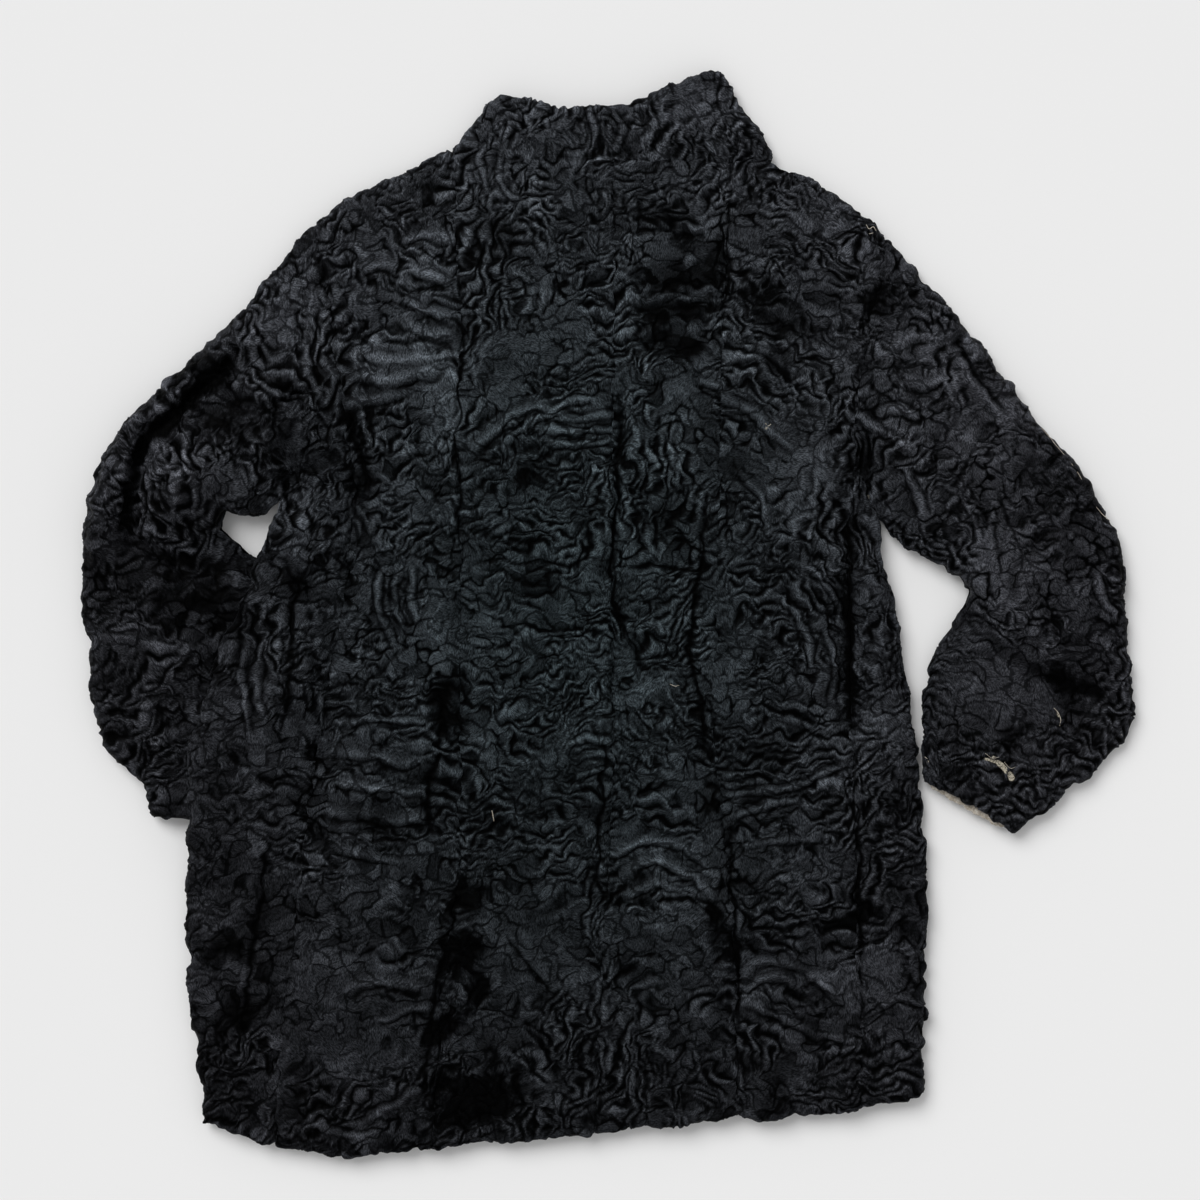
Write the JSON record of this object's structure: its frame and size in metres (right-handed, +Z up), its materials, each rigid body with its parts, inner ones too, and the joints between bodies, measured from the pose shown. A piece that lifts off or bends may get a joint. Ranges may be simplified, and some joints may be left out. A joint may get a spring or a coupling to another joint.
{
  "type": "fur coat",
  "caption": "Black Persian lamb fur coat with a stand collar, laid flat on its front with its sleeves bent and its back up.",
  "frame": {"origin": "middle of the coat's underside, which lies on the floor", "axes": "+X to the wearer's right, +Y from the hem to the collar, +Z up out of the back of the coat"},
  "size_m": [0.9436, 0.9762, 0.0442],
  "materials": {
    "persian_lamb": "black curled lamb fur in flat ridges, soft lustre, worn smooth in places",
    "pale_skin": "matt cream skin and lining edge"
  },
  "bodies": {
    "root": {"back_left": "persian_lamb", "back_centre_left": "persian_lamb", "back_centre_right": "persian_lamb", "back_right": "persian_lamb", "side_left_upper": "persian_lamb", "side_left_under": "persian_lamb", "side_right_upper": "persian_lamb", "side_right_under": "persian_lamb", "front_left": "persian_lamb", "front_right": "persian_lamb", "sleeve_left_upper": "persian_lamb", "sleeve_left_under": "persian_lamb", "sleeve_right_upper": "persian_lamb", "sleeve_right_under": "persian_lamb", "cuff_left": "persian_lamb", "cuff_right": "persian_lamb", "cuff_right_lining": "pale_skin", "collar_back": "persian_lamb", "collar_fronts": "persian_lamb"}
  },
  "joints": []
}
